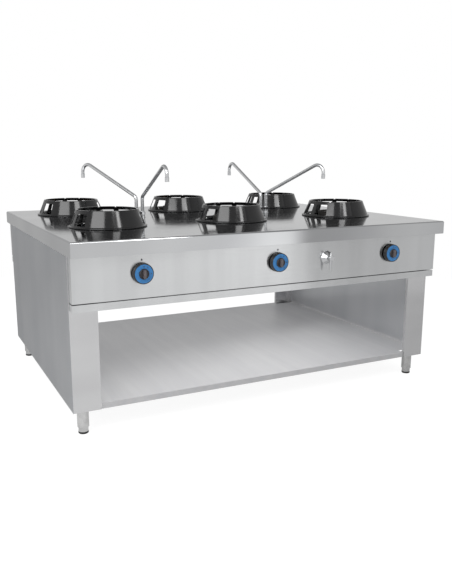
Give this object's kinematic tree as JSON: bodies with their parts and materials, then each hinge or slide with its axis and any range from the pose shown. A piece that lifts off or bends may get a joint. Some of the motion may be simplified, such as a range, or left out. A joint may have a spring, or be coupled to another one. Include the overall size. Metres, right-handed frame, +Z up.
{
  "type": "wok range",
  "caption": "Free-standing stainless steel wok range with open cone rings over gas burners, swivel water spouts, round control knobs and an open shelf below.",
  "frame": {"origin": "on the floor, under the middle of the worktop", "axes": "+X to the right along the range, -Y to the front where the picture was taken from, +Z up"},
  "size_m": [1.92, 1.56, 1.1342],
  "materials": {
    "steel_polished": "polished",
    "steel_brushed": "brushed satin",
    "steel_tube": "satin",
    "chrome": "polished",
    "iron_cast": "matt, sand cast",
    "brass": "machined",
    "enamel_black": "gloss black enamel",
    "knob_black": "satin",
    "knob_blue": "satin",
    "pad_black": "matt"
  },
  "bodies": {
    "frame": {"worktop": "steel_polished", "top_frame": "steel_tube", "control_panel_front": "steel_brushed", "control_panel_back": "steel_brushed", "panel_rails": "steel_brushed", "side_panel_left": "steel_brushed", "side_panel_right": "steel_brushed", "corner_posts": "steel_brushed", "bottom_shelf": "steel_brushed", "foot_sockets": "steel_tube", "burner_wells": "steel_polished", "burner_heads": "iron_cast", "pilot_burners": "brass", "mixer_tubes": "iron_cast", "injectors": "brass", "gas_taps": "brass", "gas_pipes": "steel_tube", "tap_screws": "steel_polished", "water_valves": "brass", "valve_rosettes": "chrome", "water_pipes": "steel_tube", "spout_bases": "chrome"},
    "tap_front_left": {"tap_spindle_front_left": "brass"},
    "knob_front_left": {"knob_front_left": "knob_black", "knob_ring_front_left": "knob_blue"},
    "ring_front_left": {"wok_ring_front_left": "enamel_black"},
    "tap_front_middle": {"tap_spindle_front_middle": "brass"},
    "knob_front_middle": {"knob_front_middle": "knob_black", "knob_ring_front_middle": "knob_blue"},
    "ring_front_middle": {"wok_ring_front_middle": "enamel_black"},
    "tap_front_right": {"tap_spindle_front_right": "brass"},
    "knob_front_right": {"knob_front_right": "knob_black", "knob_ring_front_right": "knob_blue"},
    "ring_front_right": {"wok_ring_front_right": "enamel_black"},
    "tap_back_left": {"tap_spindle_back_left": "brass"},
    "knob_back_left": {"knob_back_left": "knob_black", "knob_ring_back_left": "knob_blue"},
    "ring_back_left": {"wok_ring_back_left": "enamel_black"},
    "tap_back_middle": {"tap_spindle_back_middle": "brass"},
    "knob_back_middle": {"knob_back_middle": "knob_black", "knob_ring_back_middle": "knob_blue"},
    "ring_back_middle": {"wok_ring_back_middle": "enamel_black"},
    "tap_back_right": {"tap_spindle_back_right": "brass"},
    "knob_back_right": {"knob_back_right": "knob_black", "knob_ring_back_right": "knob_blue"},
    "ring_back_right": {"wok_ring_back_right": "enamel_black"},
    "spout_left_back": {"spout_left_back": "chrome"},
    "spout_left_front": {"spout_left_front": "chrome"},
    "spout_right_back": {"spout_right_back": "chrome"},
    "spout_right_front": {"spout_right_front": "chrome"},
    "lever_front": {"valve_lever_front": "chrome"},
    "lever_back": {"valve_lever_back": "chrome"},
    "foot_front_left": {"foot_insert_front_left": "steel_tube", "foot_pad_front_left": "pad_black"},
    "foot_front_right": {"foot_insert_front_right": "steel_tube", "foot_pad_front_right": "pad_black"},
    "foot_back_left": {"foot_insert_back_left": "steel_tube", "foot_pad_back_left": "pad_black"},
    "foot_back_right": {"foot_insert_back_right": "steel_tube", "foot_pad_back_right": "pad_black"}
  },
  "joints": [
    {"name": "tap_turn_front_left", "type": "hinge", "parent": "frame", "child": "tap_front_left", "pos_m": [-0.655, -0.732, 0.7], "axis": [0, -1, 0], "range_deg": [0, 150]},
    {"name": "knob_push_front_left", "type": "slide", "parent": "tap_front_left", "child": "knob_front_left", "axis": [0, 1, 0], "range_m": [0, 0.004], "stiffness_N_per_m": 1500, "springref_m": -0.003},
    {"name": "ring_lift_front_left", "type": "slide", "parent": "frame", "child": "ring_front_left", "axis": [0, 0, 1], "range_m": [0, 0.06]},
    {"name": "tap_turn_front_middle", "type": "hinge", "parent": "frame", "child": "tap_front_middle", "pos_m": [0, -0.732, 0.7], "axis": [0, -1, 0], "range_deg": [0, 150]},
    {"name": "knob_push_front_middle", "type": "slide", "parent": "tap_front_middle", "child": "knob_front_middle", "axis": [0, 1, 0], "range_m": [0, 0.004], "stiffness_N_per_m": 1500, "springref_m": -0.003},
    {"name": "ring_lift_front_middle", "type": "slide", "parent": "frame", "child": "ring_front_middle", "axis": [0, 0, 1], "range_m": [0, 0.06]},
    {"name": "tap_turn_front_right", "type": "hinge", "parent": "frame", "child": "tap_front_right", "pos_m": [0.655, -0.732, 0.7], "axis": [0, -1, 0], "range_deg": [0, 150]},
    {"name": "knob_push_front_right", "type": "slide", "parent": "tap_front_right", "child": "knob_front_right", "axis": [0, 1, 0], "range_m": [0, 0.004], "stiffness_N_per_m": 1500, "springref_m": -0.003},
    {"name": "ring_lift_front_right", "type": "slide", "parent": "frame", "child": "ring_front_right", "axis": [0, 0, 1], "range_m": [0, 0.06]},
    {"name": "tap_turn_back_left", "type": "hinge", "parent": "frame", "child": "tap_back_left", "pos_m": [-0.655, 0.732, 0.7], "axis": [0, 1, 0], "range_deg": [0, 150]},
    {"name": "knob_push_back_left", "type": "slide", "parent": "tap_back_left", "child": "knob_back_left", "axis": [0, -1, 0], "range_m": [0, 0.004], "stiffness_N_per_m": 1500, "springref_m": -0.003},
    {"name": "ring_lift_back_left", "type": "slide", "parent": "frame", "child": "ring_back_left", "axis": [0, 0, 1], "range_m": [0, 0.06]},
    {"name": "tap_turn_back_middle", "type": "hinge", "parent": "frame", "child": "tap_back_middle", "pos_m": [0, 0.732, 0.7], "axis": [0, 1, 0], "range_deg": [0, 150]},
    {"name": "knob_push_back_middle", "type": "slide", "parent": "tap_back_middle", "child": "knob_back_middle", "axis": [0, -1, 0], "range_m": [0, 0.004], "stiffness_N_per_m": 1500, "springref_m": -0.003},
    {"name": "ring_lift_back_middle", "type": "slide", "parent": "frame", "child": "ring_back_middle", "axis": [0, 0, 1], "range_m": [0, 0.06]},
    {"name": "tap_turn_back_right", "type": "hinge", "parent": "frame", "child": "tap_back_right", "pos_m": [0.655, 0.732, 0.7], "axis": [0, 1, 0], "range_deg": [0, 150]},
    {"name": "knob_push_back_right", "type": "slide", "parent": "tap_back_right", "child": "knob_back_right", "axis": [0, -1, 0], "range_m": [0, 0.004], "stiffness_N_per_m": 1500, "springref_m": -0.003},
    {"name": "ring_lift_back_right", "type": "slide", "parent": "frame", "child": "ring_back_right", "axis": [0, 0, 1], "range_m": [0, 0.06]},
    {"name": "spout_swivel_left_back", "type": "hinge", "parent": "frame", "child": "spout_left_back", "pos_m": [-0.397, 0.071, 0.87], "axis": [0, 0, 1], "range_deg": [-86, 44]},
    {"name": "spout_swivel_left_front", "type": "hinge", "parent": "frame", "child": "spout_left_front", "pos_m": [-0.363, 0.071, 0.87], "axis": [0, 0, 1], "range_deg": [-54, 76]},
    {"name": "spout_swivel_right_back", "type": "hinge", "parent": "frame", "child": "spout_right_back", "pos_m": [0.363, 0.071, 0.87], "axis": [0, 0, 1], "range_deg": [-57, 73]},
    {"name": "spout_swivel_right_front", "type": "hinge", "parent": "frame", "child": "spout_right_front", "pos_m": [0.397, 0.071, 0.87], "axis": [0, 0, 1], "range_deg": [-80, 50]},
    {"name": "lever_turn_front", "type": "hinge", "parent": "frame", "child": "lever_front", "pos_m": [0.27, -0.732, 0.703], "axis": [0, -1, 0], "range_deg": [0, 90]},
    {"name": "lever_turn_back", "type": "hinge", "parent": "frame", "child": "lever_back", "pos_m": [-0.27, 0.732, 0.703], "axis": [0, 1, 0], "range_deg": [0, 90]},
    {"name": "foot_turn_front_left", "type": "hinge", "parent": "frame", "child": "foot_front_left", "pos_m": [-0.903, -0.627, 0.05], "axis": [0, 0, 1], "continuous": true},
    {"name": "foot_turn_front_right", "type": "hinge", "parent": "frame", "child": "foot_front_right", "pos_m": [0.903, -0.627, 0.05], "axis": [0, 0, 1], "continuous": true},
    {"name": "foot_turn_back_left", "type": "hinge", "parent": "frame", "child": "foot_back_left", "pos_m": [-0.903, 0.627, 0.05], "axis": [0, 0, 1], "continuous": true},
    {"name": "foot_turn_back_right", "type": "hinge", "parent": "frame", "child": "foot_back_right", "pos_m": [0.903, 0.627, 0.05], "axis": [0, 0, 1], "continuous": true}
  ]
}
